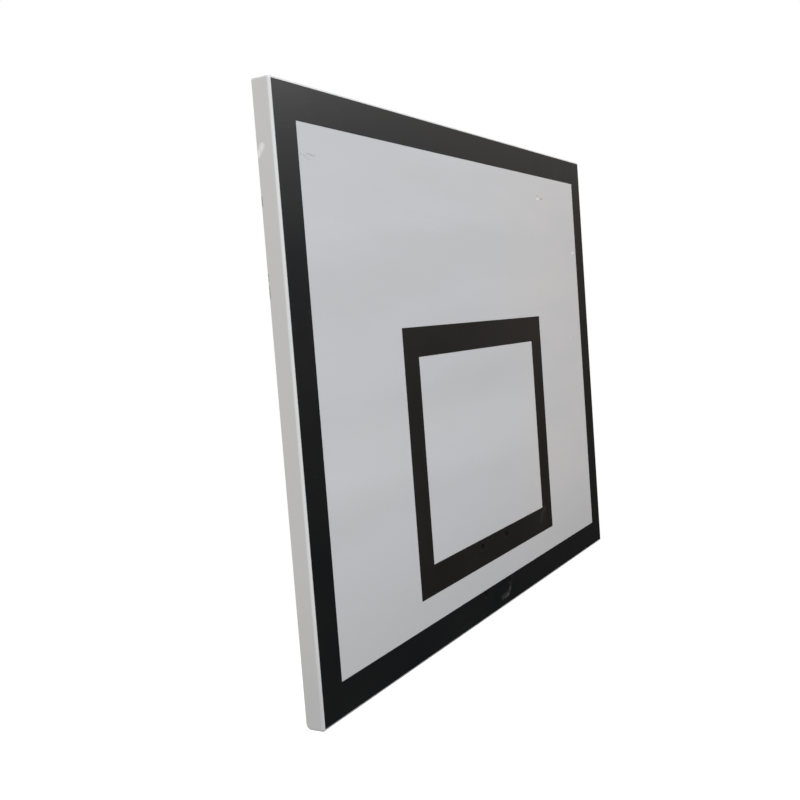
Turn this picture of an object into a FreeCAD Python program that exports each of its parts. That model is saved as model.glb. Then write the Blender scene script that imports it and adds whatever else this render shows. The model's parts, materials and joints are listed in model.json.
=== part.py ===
import FreeCAD, Part
import os
import re

import Sketcher
from FreeCAD import Placement, Rotation, Vector

# A basketball backboard: a folded sheet-steel pan with black markings on its face and, inside it, a frame of
# square tube that is held by studs welded to the back of the sheet. The frame carries a plate for the ring's
# bolts and four folded brackets for the support.
# Seen from the front, +X is to the right, +Y goes away from the player and +Z is up. The origin is in the
# middle of the four support holes, on the back of the brackets. All lengths are in millimetres.

# Driving sizes
SIZES = {
    # Folded pan
    "board_width": 1200,
    "board_height": 900,
    "board_depth": 29,
    "sheet_gauge": 2,
    "bend_radius": 2,
    "rim_clip": 5,
    "drain_diameter": 8,
    "drain_spacing": 400,
    # Markings
    "film_gauge": 0.25,
    "film_hole_margin": 0.5,
    "line_width": 50,
    "target_width": 590,
    "target_height": 450,
    "ring_height": 150,
    # Fixing for the ring
    "ring_spacing_across": 110,
    "ring_spacing_up": 90,
    "ring_hole_diameter": 13,
    "ring_hole_drop": 15,
    "ring_plate_gauge": 6,
    "ring_plate_margin": 32.5,
    "ring_bar_rise": 30,
    # Tube frame
    "tube_side": 25,
    "tube_wall": 2,
    "frame_clearance": 1,
    "upright_spacing": 500,
    "damper_gauge": 2,
    "damper_width": 18,
    "gusset_gauge": 4,
    "gusset_leg": 60,
    "gusset_nose": 8,
    # Support brackets
    "bracket_gauge": 5,
    "bracket_width": 50,
    "bracket_height": 30,
    "bracket_web": 70,
    "bracket_foot": 40,
    "bracket_bend": 5,
    "bracket_corner": 8,
    "mount_spacing_up": 400,
    "mount_hole_diameter": 13,
    # Studs that hold the frame to the sheet
    "stud_diameter": 6,
    "stud_tail": 2,
    "stud_base_diameter": 8,
    "stud_base_gauge": 1,
    "stud_hole_diameter": 7,
    "damper_hole_diameter": 10,
    "stud_washer_diameter": 12,
    "stud_washer_gauge": 1.6,
    "stud_nut_flats": 10,
    "stud_nut_height": 4.4,
    "stud_nut_collar": 1.6,
    # Bolts and threaded inserts that hold the brackets
    "bolt_diameter": 8,
    "bolt_length": 20,
    "bolt_head_flats": 13,
    "bolt_head_height": 5.3,
    "bolt_hole_diameter": 9,
    "bolt_washer_diameter": 16,
    "bolt_washer_gauge": 1.6,
    "rivnut_diameter": 11,
    "rivnut_length": 16,
    "rivnut_flange": 1,
    "rivnut_flange_diameter": 15,
    "rivnut_bulge": 1,
    "rivnut_bulge_length": 5,
    # Room between a thread and what turns on it, and round a barrel in its hole
    "thread_clearance": 0.2,
    "chamfer": 1,
}

# Place of the bend in the rim's clipped lower corners, as a share of the clip
CLIP_KNEE_SHARE = 0.3

# Corner radius of the tube outside and inside, as shares of its wall
TUBE_OUTER_SHARE = 1.5
TUBE_INNER_SHARE = 0.5

# Places of the studs, as shares of the length that they divide
RAIL_STUD_SHARES = (0.14, 0.42)
STILE_STUD_SHARE = 0.3
UPRIGHT_STUD_SHARE = 0.43
MIDDLE_STUD_SHARE = 0.24
RING_BAR_STUD_SHARE = 0.36

# Hexagons and the collars of the lock nuts, as shares of the width across flats
HEX_CORNER_SHARE = round(1 / 3 ** 0.5, 6)
HEX_FACE_SHARE = 0.475
HEX_CHAMFER_SHARE = 0.06
NUT_COLLAR_SHARE = 0.42

# Distance under which two places count as one
SAME_PLACE = 1e-4

doc = FreeCAD.newDocument("Backboard")
sheet = doc.addObject("Spreadsheet::Sheet", "Sizes")
for row, (name, size) in enumerate(SIZES.items(), start=1):
    sheet.set(f"A{row}", name)
    sheet.set(f"B{row}", str(size))
    sheet.setAlias(f"B{row}", name)
doc.recompute()

# Depths, from the front of the face to the back of the brackets, and the sizes that follow from the sheet
FACE = "-(sheet_gauge + damper_gauge + tube_side + rivnut_flange + bracket_height)"
SHEET_BACK = f"({FACE} + sheet_gauge)"
TUBE_MIDDLE = f"({SHEET_BACK} + damper_gauge + tube_side / 2)"
TUBE_BACK = f"({SHEET_BACK} + damper_gauge + tube_side)"
BRACKET_SEAT = f"({TUBE_BACK} + rivnut_flange)"
FOLD_RADIUS = "(bend_radius + sheet_gauge)"

# Places of the frame across and up the board
FRAME_WIDTH = "(board_width - 2 * (sheet_gauge + frame_clearance))"
FRAME_HEIGHT = "(board_height - 2 * (sheet_gauge + frame_clearance))"
RAIL_LENGTH = f"({FRAME_WIDTH} - 2 * tube_side)"
UPRIGHT_LENGTH = f"({FRAME_HEIGHT} - 2 * tube_side)"
RAIL_PLACE = f"({FRAME_HEIGHT} / 2 - tube_side / 2)"
STILE_PLACE = f"({FRAME_WIDTH} / 2 - tube_side / 2)"
UPRIGHT_PLACE = "(upright_spacing / 2)"
CROSSBAR_LENGTH = "(upright_spacing - tube_side)"
BRACE_LENGTH = f"({RAIL_LENGTH} / 2 - {UPRIGHT_PLACE} - tube_side / 2)"
BRACE_PLACE = f"({RAIL_LENGTH} / 2 - {BRACE_LENGTH} / 2)"

# Places of the ring's fixing, measured up from the lower edge of the board
LOWER_EDGE = "(-board_height / 2)"
RING_UPPER_ROW = f"({LOWER_EDGE} + ring_height - ring_hole_drop)"
RING_LOWER_ROW = f"({RING_UPPER_ROW} - ring_spacing_up)"
RING_BAR_UNDERSIDE = f"({LOWER_EDGE} + ring_height + ring_bar_rise)"
RING_PLATE_FOOT = f"(-{UPRIGHT_LENGTH} / 2)"
RING_PLATE_HEIGHT = f"({RING_BAR_UNDERSIDE} - {RING_PLATE_FOOT})"
RING_PLATE_MIDDLE = f"({RING_PLATE_FOOT} + {RING_PLATE_HEIGHT} / 2)"
RING_PLATE_WIDTH = "(ring_spacing_across + 2 * ring_plate_margin)"
RING_STRUT_PLACE = f"({RING_PLATE_WIDTH} / 2 + tube_side / 2)"
RING_HOLES = [(f"{side} * ring_spacing_across / 2", row) for side in (-1, 1)
              for row in (RING_LOWER_ROW, RING_UPPER_ROW)]

# Distance of a bracket's bolts from its middle
FOOT_HOLE = "(bracket_web / 2 + (bracket_bend + bracket_foot) / 2)"

sub_parts = []


def bound(text):
    """A sum of size names as an expression on the sheet."""
    return re.sub(r"[a-z_]+", lambda word: f"Sizes.{word[0]}", text)


def value(text):
    """What such a sum comes to, in millimetres."""
    return float(sheet.evalExpression(bound(text)))


def bind(item, path, text):
    item.setExpression(path, bound(text))


def new_body(label):
    body = doc.addObject("PartDesign::Body", label)
    body.Label = label
    return body


def plane(body, role):
    return next(item for item in body.Origin.OriginFeatures if item.Role == role)


def new_sketch(body, role, offset="0"):
    """A sketch on one of the body's own planes, or a bound distance away from it."""
    sketch = body.newObject("Sketcher::SketchObject", "Sketch")
    sketch.AttachmentSupport = [(plane(body, role), "")]
    sketch.MapMode = "FlatFace"
    bind(sketch, "AttachmentOffset.Base.z", offset)
    return sketch


def bind_constraint(sketch, constraint, text):
    number = sketch.addConstraint(constraint)
    bind(sketch, f"Constraints[{number}]", text)


def pin(sketch, curve, end, across, up):
    """Holds a point of a sketch at bound distances from the origin, on either side of it."""
    for kind, axis, text in (("DistanceX", -2, across), ("DistanceY", -1, up)):
        distance = value(text)
        if distance > 0:
            bind_constraint(sketch, Sketcher.Constraint(kind, -1, 1, curve, end, distance), text)
        elif distance < 0:
            bind_constraint(sketch, Sketcher.Constraint(kind, curve, end, -1, 1, -distance), f"-({text})")
        else:
            sketch.addConstraint(Sketcher.Constraint("PointOnObject", curve, end, axis))


def outline(sketch, corners):
    """A closed outline of straight lines with every corner pinned."""
    first = sketch.GeometryCount
    points = [Vector(value(across), value(up), 0) for across, up in corners]
    for start, end in zip(points, points[1:] + points[:1]):
        sketch.addGeometry(Part.LineSegment(start, end), False)
    for number in range(len(corners)):
        following = (number + 1) % len(corners)
        sketch.addConstraint(Sketcher.Constraint("Coincident", first + number, 2, first + following, 1))
    for number, (across, up) in enumerate(corners):
        pin(sketch, first + number, 1, across, up)


def rectangle(sketch, width, height, middle="0"):
    """A rectangle centred across the sketch, with its middle at a bound height."""
    left, right = f"-{width} / 2", f"{width} / 2"
    low, high = f"{middle} - {height} / 2", f"{middle} + {height} / 2"
    outline(sketch, [(left, low), (right, low), (right, high), (left, high)])


def circles(sketch, places, diameter):
    """Equal circles with their centres pinned."""
    for across, up in places:
        centre = Vector(value(across), value(up), 0)
        number = sketch.addGeometry(Part.Circle(centre, Vector(0, 0, 1), value(diameter) / 2), False)
        pin(sketch, number, 3, across, up)
        bind_constraint(sketch, Sketcher.Constraint("Diameter", number, value(diameter)), diameter)


def pad(body, sketch, length, side="One side", turned=False):
    feature = body.newObject("PartDesign::Pad", "Pad")
    feature.Profile = sketch
    feature.SideType = side
    feature.Reversed = turned
    bind(feature, "Length", length)
    doc.recompute()
    return feature


def cut(body, sketch, length=None, side="One side", turned=False):
    """A pocket of bound length, or right through, that must take something away."""
    before = body.Shape.Volume
    feature = body.newObject("PartDesign::Pocket", "Pocket")
    feature.Profile = sketch
    feature.SideType = side
    feature.Reversed = turned
    if length is None:
        feature.Type = "ThroughAll"
    else:
        bind(feature, "Length", length)
    doc.recompute()
    if body.Shape.Volume >= before:
        raise RuntimeError(f"{body.Label}: a cut takes nothing away")
    return feature


def revolve(body, corners):
    """A turned piece about the body's Y axis, from an outline given as radius and depth."""
    sketch = new_sketch(body, "XY_Plane")
    outline(sketch, corners)
    feature = body.newObject("PartDesign::Revolution", "Revolution")
    feature.Profile = sketch
    feature.ReferenceAxis = (sketch, ["V_Axis"])
    feature.Angle = 360
    doc.recompute()


def mirror(body, feature, role):
    copy = body.newObject("PartDesign::Mirrored", "Mirrored")
    copy.Originals = [feature]
    copy.MirrorPlane = (plane(body, role), [""])
    body.Tip = copy
    doc.recompute()


def round_edges(body, radius, chosen):
    """Fillets the straight edges of the body's last feature that the test picks by middle and direction."""
    base = body.Tip
    names = []
    for number, edge in enumerate(base.Shape.Edges, start=1):
        if edge.Degenerated or not isinstance(edge.Curve, Part.Line):
            continue
        middle = edge.valueAt((edge.FirstParameter + edge.LastParameter) / 2)
        if chosen(middle, edge.Curve.Direction):
            names.append(f"Edge{number}")
    feature = body.newObject("PartDesign::Fillet", "Fillet")
    feature.Base = (base, names)
    bind(feature, "Radius", radius)
    doc.recompute()


def along(direction, axis):
    return abs(direction.dot(axis)) > 1 - SAME_PLACE


def near(first, second):
    return abs(first - second) < SAME_PLACE


def place(body, across="0", depth="0", up="0", turn=0):
    """Puts a finished body in the board's frame, turned about the Y axis, and keeps it as a sub-part."""
    body.Placement = Placement(Vector(), Rotation(Vector(0, 1, 0), turn))
    bind(body, "Placement.Base.x", across)
    bind(body, "Placement.Base.y", depth)
    bind(body, "Placement.Base.z", up)
    sub_parts.append(body)


def copies(label, model, places, depth):
    """Separate solids of one modelled fastener, at every place and at one depth."""
    group = doc.addObject("Part::Feature", label)
    group.Label = label
    solids = [model.Shape.translated(Vector(value(across), 0, value(up))) for across, up in places]
    group.Shape = Part.makeCompound(solids)
    group.Placement = Placement(Vector(0, value(depth), 0), Rotation())
    sub_parts.append(group)


# Folded pan
pan = new_body("face_pan")
sketch = new_sketch(pan, "XZ_Plane")
rectangle(sketch, "board_width", "board_height")
pad(pan, sketch, "board_depth", turned=True)
round_edges(pan, FOLD_RADIUS, lambda middle, way: near(middle.y, 0) or along(way, Vector(0, 1, 0)))
sketch = new_sketch(pan, "XZ_Plane", "-board_depth")
rectangle(sketch, "(board_width - 2 * sheet_gauge)", "(board_height - 2 * sheet_gauge)")
cut(pan, sketch, "board_depth - sheet_gauge", turned=True)
INSIDE = (value("board_width / 2 - sheet_gauge"), value("board_height / 2 - sheet_gauge"))
round_edges(pan, "bend_radius", lambda middle, way: (
    near(middle.y, value("sheet_gauge")) or (
        along(way, Vector(0, 1, 0)) and near(abs(middle.x), INSIDE[0]) and near(abs(middle.z), INSIDE[1]))))
sketch = new_sketch(pan, "XZ_Plane")
circles(sketch, RING_HOLES, "ring_hole_diameter")
cut(pan, sketch)
# The rim is clipped at its lower corners in two steps, drawn on a plane along the corner's diagonal
CLIP_KNEE = f"{CLIP_KNEE_SHARE} * rim_clip"
sketch = new_sketch(pan, "XY_Plane", f"-(board_height / 2 - {FOLD_RADIUS})")
sketch.AttachmentOffset = Placement(Vector(), Rotation(Vector(0, 1, 0), 45))
bind(sketch, "AttachmentOffset.Base.x", f"board_width / 2 - {FOLD_RADIUS}")
outline(sketch, [(f"{FOLD_RADIUS} - rim_clip", "board_depth"),
                 (f"{FOLD_RADIUS} - {CLIP_KNEE}", f"board_depth - {CLIP_KNEE}"),
                 (FOLD_RADIUS, "board_depth - rim_clip"),
                 (f"{FOLD_RADIUS} + rim_clip", "board_depth - rim_clip"),
                 (f"{FOLD_RADIUS} + rim_clip", "board_depth + rim_clip"),
                 (f"{FOLD_RADIUS} - rim_clip", "board_depth + rim_clip")])
mirror(pan, cut(pan, sketch, side="Symmetric"), "YZ_Plane")
sketch = new_sketch(pan, "XY_Plane")
circles(sketch, [(f"{step} * drain_spacing", "board_depth / 2") for step in (-1, 0, 1)], "drain_diameter")
cut(pan, sketch)
place(pan, depth=FACE)

# Black markings on the face, cut back a little round the ring's holes
FILM_HOLE = "(ring_hole_diameter + 2 * film_hole_margin)"
border = new_body("border_marking")
sketch = new_sketch(border, "XZ_Plane")
rectangle(sketch, f"(board_width - 2 * {FOLD_RADIUS})", f"(board_height - 2 * {FOLD_RADIUS})")
rectangle(sketch, f"(board_width - 2 * ({FOLD_RADIUS} + line_width))",
          f"(board_height - 2 * ({FOLD_RADIUS} + line_width))")
pad(border, sketch, "film_gauge")
sketch = new_sketch(border, "XZ_Plane")
circles(sketch, RING_HOLES, FILM_HOLE)
cut(border, sketch, side="Symmetric")
place(border, depth=FACE)

TARGET_MIDDLE = f"({LOWER_EDGE} + ring_height - line_width + target_height / 2)"
target = new_body("target_marking")
sketch = new_sketch(target, "XZ_Plane")
rectangle(sketch, "target_width", "target_height", TARGET_MIDDLE)
rectangle(sketch, "(target_width - 2 * line_width)", "(target_height - 2 * line_width)", TARGET_MIDDLE)
pad(target, sketch, "film_gauge")
sketch = new_sketch(target, "XZ_Plane")
circles(sketch, RING_HOLES, FILM_HOLE)
cut(target, sketch, side="Symmetric")
place(target, depth=FACE)


# Tube frame: each tube is drawn along X with its longer side down, and turned to its place
def stud_distances(shares, length):
    return [f"{side} * {share} * {length}" for share in shares for side in (-1, 1)]


def tube(label, across, up, turn, length, studs, mitred=False, inserts=()):
    """A square tube with holes for its studs through both walls and for threaded inserts in the back wall."""
    body = new_body(label)
    longer = f"({length} + 2 * tube_side)" if mitred else length
    sketch = new_sketch(body, "XZ_Plane")
    outline(sketch, [(f"-{longer} / 2", "-tube_side / 2"), (f"{longer} / 2", "-tube_side / 2"),
                     (f"{length} / 2", "tube_side / 2"), (f"-{length} / 2", "tube_side / 2")])
    pad(body, sketch, "tube_side", side="Symmetric")
    round_edges(body, f"{TUBE_OUTER_SHARE} * tube_wall", lambda middle, way: along(way, Vector(1, 0, 0)))
    sketch = new_sketch(body, "YZ_Plane")
    rectangle(sketch, "(tube_side - 2 * tube_wall)", "(tube_side - 2 * tube_wall)")
    cut(body, sketch, side="Symmetric")
    inside = value("tube_side / 2 - tube_wall")
    round_edges(body, f"{TUBE_INNER_SHARE} * tube_wall", lambda middle, way: (
        along(way, Vector(1, 0, 0)) and near(abs(middle.y), inside) and near(abs(middle.z), inside)))
    if studs:
        sketch = new_sketch(body, "XZ_Plane")
        circles(sketch, [(distance, "0") for distance in studs], "stud_hole_diameter")
        cut(body, sketch, side="Symmetric")
    if inserts:
        sketch = new_sketch(body, "XZ_Plane")
        circles(sketch, [(distance, "0") for distance in inserts], "(rivnut_diameter + 2 * thread_clearance)")
        cut(body, sketch)
    place(body, across, TUBE_MIDDLE, up, turn)


def damper(label, across, up, turn, length, studs):
    """The rubber strip between a tube and the sheet, with holes round the feet of the studs."""
    body = new_body(label)
    sketch = new_sketch(body, "XZ_Plane")
    rectangle(sketch, length, "damper_width")
    circles(sketch, [(distance, "0") for distance in studs], "damper_hole_diameter")
    pad(body, sketch, "damper_gauge", turned=True)
    place(body, across, SHEET_BACK, up, turn)


RAIL_STUDS = stud_distances(RAIL_STUD_SHARES, "board_width")
STILE_STUDS = ["0"] + stud_distances([STILE_STUD_SHARE], "board_height")
UPRIGHT_STUDS = ["0"] + stud_distances([UPRIGHT_STUD_SHARE], "board_height")
MIDDLE_STUDS = stud_distances([MIDDLE_STUD_SHARE], "upright_spacing")
RING_BAR_STUDS = stud_distances([RING_BAR_STUD_SHARE], "upright_spacing")
INSERTS = [f"{side} * mount_spacing_up / 2 {sign} {FOOT_HOLE}" for side in (-1, 1) for sign in "+-"]
RING_BAR_PLACE = f"({RING_BAR_UNDERSIDE} + tube_side / 2)"
FLAT, UPSIDE_DOWN, LEFTWARD, RIGHTWARD = 0, 180, 90, -90

# Label, place across, place up, turn, length of the shorter side, studs along it, mitred, inserts along it
FRAME = [
    ("top_rail", "0", RAIL_PLACE, UPSIDE_DOWN, RAIL_LENGTH, RAIL_STUDS, True, ()),
    ("bottom_rail", "0", f"-{RAIL_PLACE}", FLAT, RAIL_LENGTH, RAIL_STUDS, True, ()),
    ("left_stile", f"-{STILE_PLACE}", "0", LEFTWARD, UPRIGHT_LENGTH, STILE_STUDS, True, ()),
    ("right_stile", STILE_PLACE, "0", RIGHTWARD, UPRIGHT_LENGTH, STILE_STUDS, True, ()),
    ("left_upright", f"-{UPRIGHT_PLACE}", "0", LEFTWARD, UPRIGHT_LENGTH, UPRIGHT_STUDS, False, INSERTS),
    ("right_upright", UPRIGHT_PLACE, "0", RIGHTWARD, UPRIGHT_LENGTH, UPRIGHT_STUDS, False, INSERTS),
    ("middle_crossbar", "0", "0", FLAT, CROSSBAR_LENGTH, MIDDLE_STUDS, False, ()),
    ("left_brace", f"-{BRACE_PLACE}", "0", FLAT, BRACE_LENGTH, ["0"], False, ()),
    ("right_brace", BRACE_PLACE, "0", FLAT, BRACE_LENGTH, ["0"], False, ()),
    ("ring_crossbar", "0", RING_BAR_PLACE, FLAT, CROSSBAR_LENGTH, RING_BAR_STUDS, False, ()),
    ("left_ring_strut", f"-{RING_STRUT_PLACE}", RING_PLATE_MIDDLE, LEFTWARD, RING_PLATE_HEIGHT, (), False, ()),
    ("right_ring_strut", RING_STRUT_PLACE, RING_PLATE_MIDDLE, RIGHTWARD, RING_PLATE_HEIGHT, (), False, ()),
]
stud_places = []
for label, across, up, turn, length, studs, mitred, inserts in FRAME:
    tube(label, across, up, turn, length, studs, mitred, inserts)
    damper(f"{label}_damper", across, up, turn, length, studs)
    if turn in (LEFTWARD, RIGHTWARD):
        stud_places += [(across, f"{up} + {distance}") for distance in studs]
    else:
        stud_places += [(f"{across} + {distance}", up) for distance in studs]

# Plate behind the face for the ring's bolts
plate = new_body("ring_backing_plate")
sketch = new_sketch(plate, "XZ_Plane")
rectangle(sketch, RING_PLATE_WIDTH, RING_PLATE_HEIGHT, RING_PLATE_MIDDLE)
circles(sketch, RING_HOLES, "ring_hole_diameter")
pad(plate, sketch, "ring_plate_gauge", turned=True)
place(plate, depth=SHEET_BACK)

# Corner plates of the frame, drawn for the lower left corner and turned to the others
CORNERS = [
    ("lower_left_gusset", f"-{RAIL_LENGTH} / 2", f"-{UPRIGHT_LENGTH} / 2", 0),
    ("upper_left_gusset", f"-{RAIL_LENGTH} / 2", f"{UPRIGHT_LENGTH} / 2", 90),
    ("upper_right_gusset", f"{RAIL_LENGTH} / 2", f"{UPRIGHT_LENGTH} / 2", 180),
    ("lower_right_gusset", f"{RAIL_LENGTH} / 2", f"-{UPRIGHT_LENGTH} / 2", -90),
]
for label, across, up, turn in CORNERS:
    gusset = new_body(label)
    sketch = new_sketch(gusset, "XZ_Plane")
    outline(sketch, [("gusset_nose", "0"), ("gusset_leg", "0"), ("gusset_leg", "gusset_nose"),
                     ("gusset_nose", "gusset_leg"), ("0", "gusset_leg"), ("0", "gusset_nose")])
    pad(gusset, sketch, "gusset_gauge", side="Symmetric")
    place(gusset, across, TUBE_MIDDLE, up, turn)

# Folded brackets for the support, with their feet on the inserts and the support's hole in the raised web
SUPPORTS = [
    ("upper_left_bracket", f"-{UPRIGHT_PLACE}", "mount_spacing_up / 2"),
    ("upper_right_bracket", UPRIGHT_PLACE, "mount_spacing_up / 2"),
    ("lower_left_bracket", f"-{UPRIGHT_PLACE}", "-mount_spacing_up / 2"),
    ("lower_right_bracket", UPRIGHT_PLACE, "-mount_spacing_up / 2"),
]
WEB_INSIDE = "(bracket_web / 2 - bracket_gauge)"
FOOT_END = "(bracket_web / 2 + bracket_foot)"
HALF_HAT = [("0", FOOT_END), ("bracket_gauge", FOOT_END), ("bracket_gauge", "bracket_web / 2"),
            ("bracket_height", "bracket_web / 2")]
HALF_HOLLOW = [("bracket_height - bracket_gauge", WEB_INSIDE), ("0", WEB_INSIDE)]


def bracket(label, across, up):
    body = new_body(label)
    sketch = new_sketch(body, "YZ_Plane")
    lower_hat = [(depth, f"-{height}") for depth, height in reversed(HALF_HAT)]
    lower_hollow = [(depth, f"-{height}") for depth, height in reversed(HALF_HOLLOW)]
    outline(sketch, HALF_HAT + lower_hat + lower_hollow + HALF_HOLLOW)
    pad(body, sketch, "bracket_width", side="Symmetric")
    inner_bends = [(value("bracket_gauge"), value("bracket_web / 2")),
                   (value("bracket_height - bracket_gauge"), value(WEB_INSIDE))]
    outer_bends = [(0, value(WEB_INSIDE)), (value("bracket_height"), value("bracket_web / 2"))]
    for bends, radius in ((inner_bends, "bracket_bend"), (outer_bends, "bracket_bend + bracket_gauge")):
        round_edges(body, radius, lambda middle, way: along(way, Vector(1, 0, 0)) and any(
            near(middle.y, depth) and near(abs(middle.z), height) for depth, height in bends))
    end = value(FOOT_END)
    round_edges(body, "bracket_corner", lambda middle, way: (
        along(way, Vector(0, 1, 0)) and near(abs(middle.z), end)))
    sketch = new_sketch(body, "XZ_Plane")
    circles(sketch, [("0", "0")], "mount_hole_diameter")
    circles(sketch, [("0", FOOT_HOLE), ("0", f"-{FOOT_HOLE}")], "bolt_hole_diameter")
    cut(body, sketch)
    place(body, across, BRACKET_SEAT, up)


for support in SUPPORTS:
    bracket(*support)
bolt_places = [(across, f"{up} {sign} {FOOT_HOLE}") for _, across, up in SUPPORTS for sign in "+-"]


# Fasteners: each is turned about Y from its front end, and the hexagons are cut from chamfered discs
def hexagon(body, flats, depth, height):
    """Cuts a turned disc down to a regular hexagon, from a bound depth over a bound height."""
    corner = value(f"{HEX_CORNER_SHARE} * {flats}")
    sketch = new_sketch(body, "XZ_Plane", f"-({depth})")
    points = [Rotation(Vector(0, 0, 1), 60 * number).multVec(Vector(corner, 0, 0)) for number in range(6)]
    for start, end in zip(points, points[1:] + points[:1]):
        sketch.addGeometry(Part.LineSegment(start, end), False)
    ring = sketch.addGeometry(Part.Circle(Vector(), Vector(0, 0, 1), corner), True)
    sketch.addConstraint(Sketcher.Constraint("Coincident", ring, 3, -1, 1))
    for number in range(6):
        sketch.addConstraint(Sketcher.Constraint("Coincident", number, 2, (number + 1) % 6, 1))
        sketch.addConstraint(Sketcher.Constraint("PointOnObject", number, 1, ring))
    for number in range(1, 6):
        sketch.addConstraint(Sketcher.Constraint("Equal", 0, number))
    sketch.addConstraint(Sketcher.Constraint("PointOnObject", 0, 1, -1))
    bind_constraint(sketch, Sketcher.Constraint("Radius", ring, corner), f"{HEX_CORNER_SHARE} * {flats}")
    circles(sketch, [("0", "0")], f"2 * {flats}")
    cut(body, sketch, height)


def hex_disc(flats, start, height):
    """The outer half of a chamfered disc's outline, from its front face to its back face."""
    face, corner = f"{HEX_FACE_SHARE} * {flats}", f"{HEX_CORNER_SHARE} * {flats}"
    chamfer = f"{HEX_CHAMFER_SHARE} * {flats}"
    return [(face, start), (corner, f"{start} + {chamfer}"),
            (corner, f"{start} + {height} - {chamfer}"), (face, f"{start} + {height}")]


def washer(label, bore, diameter, gauge, places, depth):
    model = new_body(f"{label}_model")
    revolve(model, [(f"{bore} / 2", "0"), (f"{diameter} / 2", "0"), (f"{diameter} / 2", gauge),
                    (f"{bore} / 2", gauge)])
    copies(label, model, places, depth)


# Studs with their washers and lock nuts
NUT_PLACE = f"({TUBE_BACK} + stud_washer_gauge)"
NUT_TOP = "(stud_nut_height + stud_nut_collar)"
STUD_LENGTH = f"(damper_gauge + tube_side + stud_washer_gauge + {NUT_TOP} + stud_tail)"
STUD_BORE = "(stud_diameter + 2 * thread_clearance)"
stud = new_body("weld_stud_model")
revolve(stud, [("0", "0"), ("stud_base_diameter / 2", "0"), ("stud_base_diameter / 2", "stud_base_gauge"),
               ("stud_diameter / 2", "stud_base_gauge"), ("stud_diameter / 2", f"{STUD_LENGTH} - chamfer"),
               ("stud_diameter / 2 - chamfer", STUD_LENGTH), ("0", STUD_LENGTH)])
copies("weld_studs", stud, stud_places, SHEET_BACK)
washer("stud_washers", STUD_BORE, "stud_washer_diameter", "stud_washer_gauge", stud_places, TUBE_BACK)
nut = new_body("stud_nut_model")
revolve(nut, [(f"{STUD_BORE} / 2", "0"), *hex_disc("stud_nut_flats", "0", "stud_nut_height"),
              (f"{NUT_COLLAR_SHARE} * stud_nut_flats", "stud_nut_height"),
              (f"{NUT_COLLAR_SHARE} * stud_nut_flats", f"{NUT_TOP} - stud_nut_collar / 2"),
              (f"{STUD_BORE} / 2 + stud_nut_collar / 2", NUT_TOP), (f"{STUD_BORE} / 2", NUT_TOP)])
hexagon(nut, "stud_nut_flats", "0", "stud_nut_height")
copies("stud_nuts", nut, stud_places, NUT_PLACE)

# Threaded inserts in the uprights, crimped behind the tube's wall
BOLT_BORE = "(bolt_diameter + 2 * thread_clearance)"
BARREL = "rivnut_diameter / 2"
WALL_INSIDE = "(rivnut_length - tube_wall)"
insert = new_body("rivet_nut_model")
revolve(insert, [(f"{BOLT_BORE} / 2", "0"), (BARREL, "0"), (BARREL, f"{WALL_INSIDE} - rivnut_bulge_length"),
                 (f"{BARREL} + rivnut_bulge", f"{WALL_INSIDE} - rivnut_bulge_length / 2"),
                 (f"{BARREL} + rivnut_bulge", WALL_INSIDE), (BARREL, WALL_INSIDE), (BARREL, "rivnut_length"),
                 ("rivnut_flange_diameter / 2", "rivnut_length"),
                 ("rivnut_flange_diameter / 2", "rivnut_length + rivnut_flange"),
                 (f"{BOLT_BORE} / 2", "rivnut_length + rivnut_flange")])
copies("rivet_nuts", insert, bolt_places, f"{TUBE_BACK} - rivnut_length")

# Bolts and washers that hold the brackets
WASHER_PLACE = f"({BRACKET_SEAT} + bracket_gauge)"
washer("bracket_washers", BOLT_BORE, "bolt_washer_diameter", "bolt_washer_gauge", bolt_places, WASHER_PLACE)
bolt = new_body("bracket_bolt_model")
revolve(bolt, [("0", "0"), ("bolt_diameter / 2 - chamfer", "0"), ("bolt_diameter / 2", "chamfer"),
               ("bolt_diameter / 2", "bolt_length"),
               *hex_disc("bolt_head_flats", "bolt_length", "bolt_head_height"),
               ("0", "bolt_length + bolt_head_height")])
hexagon(bolt, "bolt_head_flats", "bolt_length", "bolt_head_height")
copies("bracket_bolts", bolt, bolt_places, f"{WASHER_PLACE} + bolt_washer_gauge - bolt_length")

# Every object must be sound before anything is written
doc.recompute()
faulty = [item.Label for item in doc.Objects if {"Invalid", "Error"} & set(item.State)]
faulty += [part.Label for part in sub_parts if part.Shape.isNull() or not part.Shape.isValid()]
if faulty:
    raise RuntimeError("faulty: " + ", ".join(faulty))
os.makedirs("parts", exist_ok=True)
for part in sub_parts:
    part.Shape.exportStep(os.path.join("parts", f"{part.Label}.step"))
    print(f"{part.Label}: {len(part.Shape.Solids)} solids, {part.Shape.Volume / 1000:.1f} cm3")
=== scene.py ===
# %% [markdown]
# # Dressing a basketball backboard
# The real board is a shallow steel pan, folded at its four edges and coated white, with black lines on its
# face. A frame of square tube lies inside the pan, and brackets on the frame take the support. The solids
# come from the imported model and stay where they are. This lesson gives them their finishes, adds the weld
# beads and the threads that the solids leave out, and sets up a studio and a camera.

import json
import math

import bpy
import numpy as np
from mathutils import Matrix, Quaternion, Vector


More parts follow.
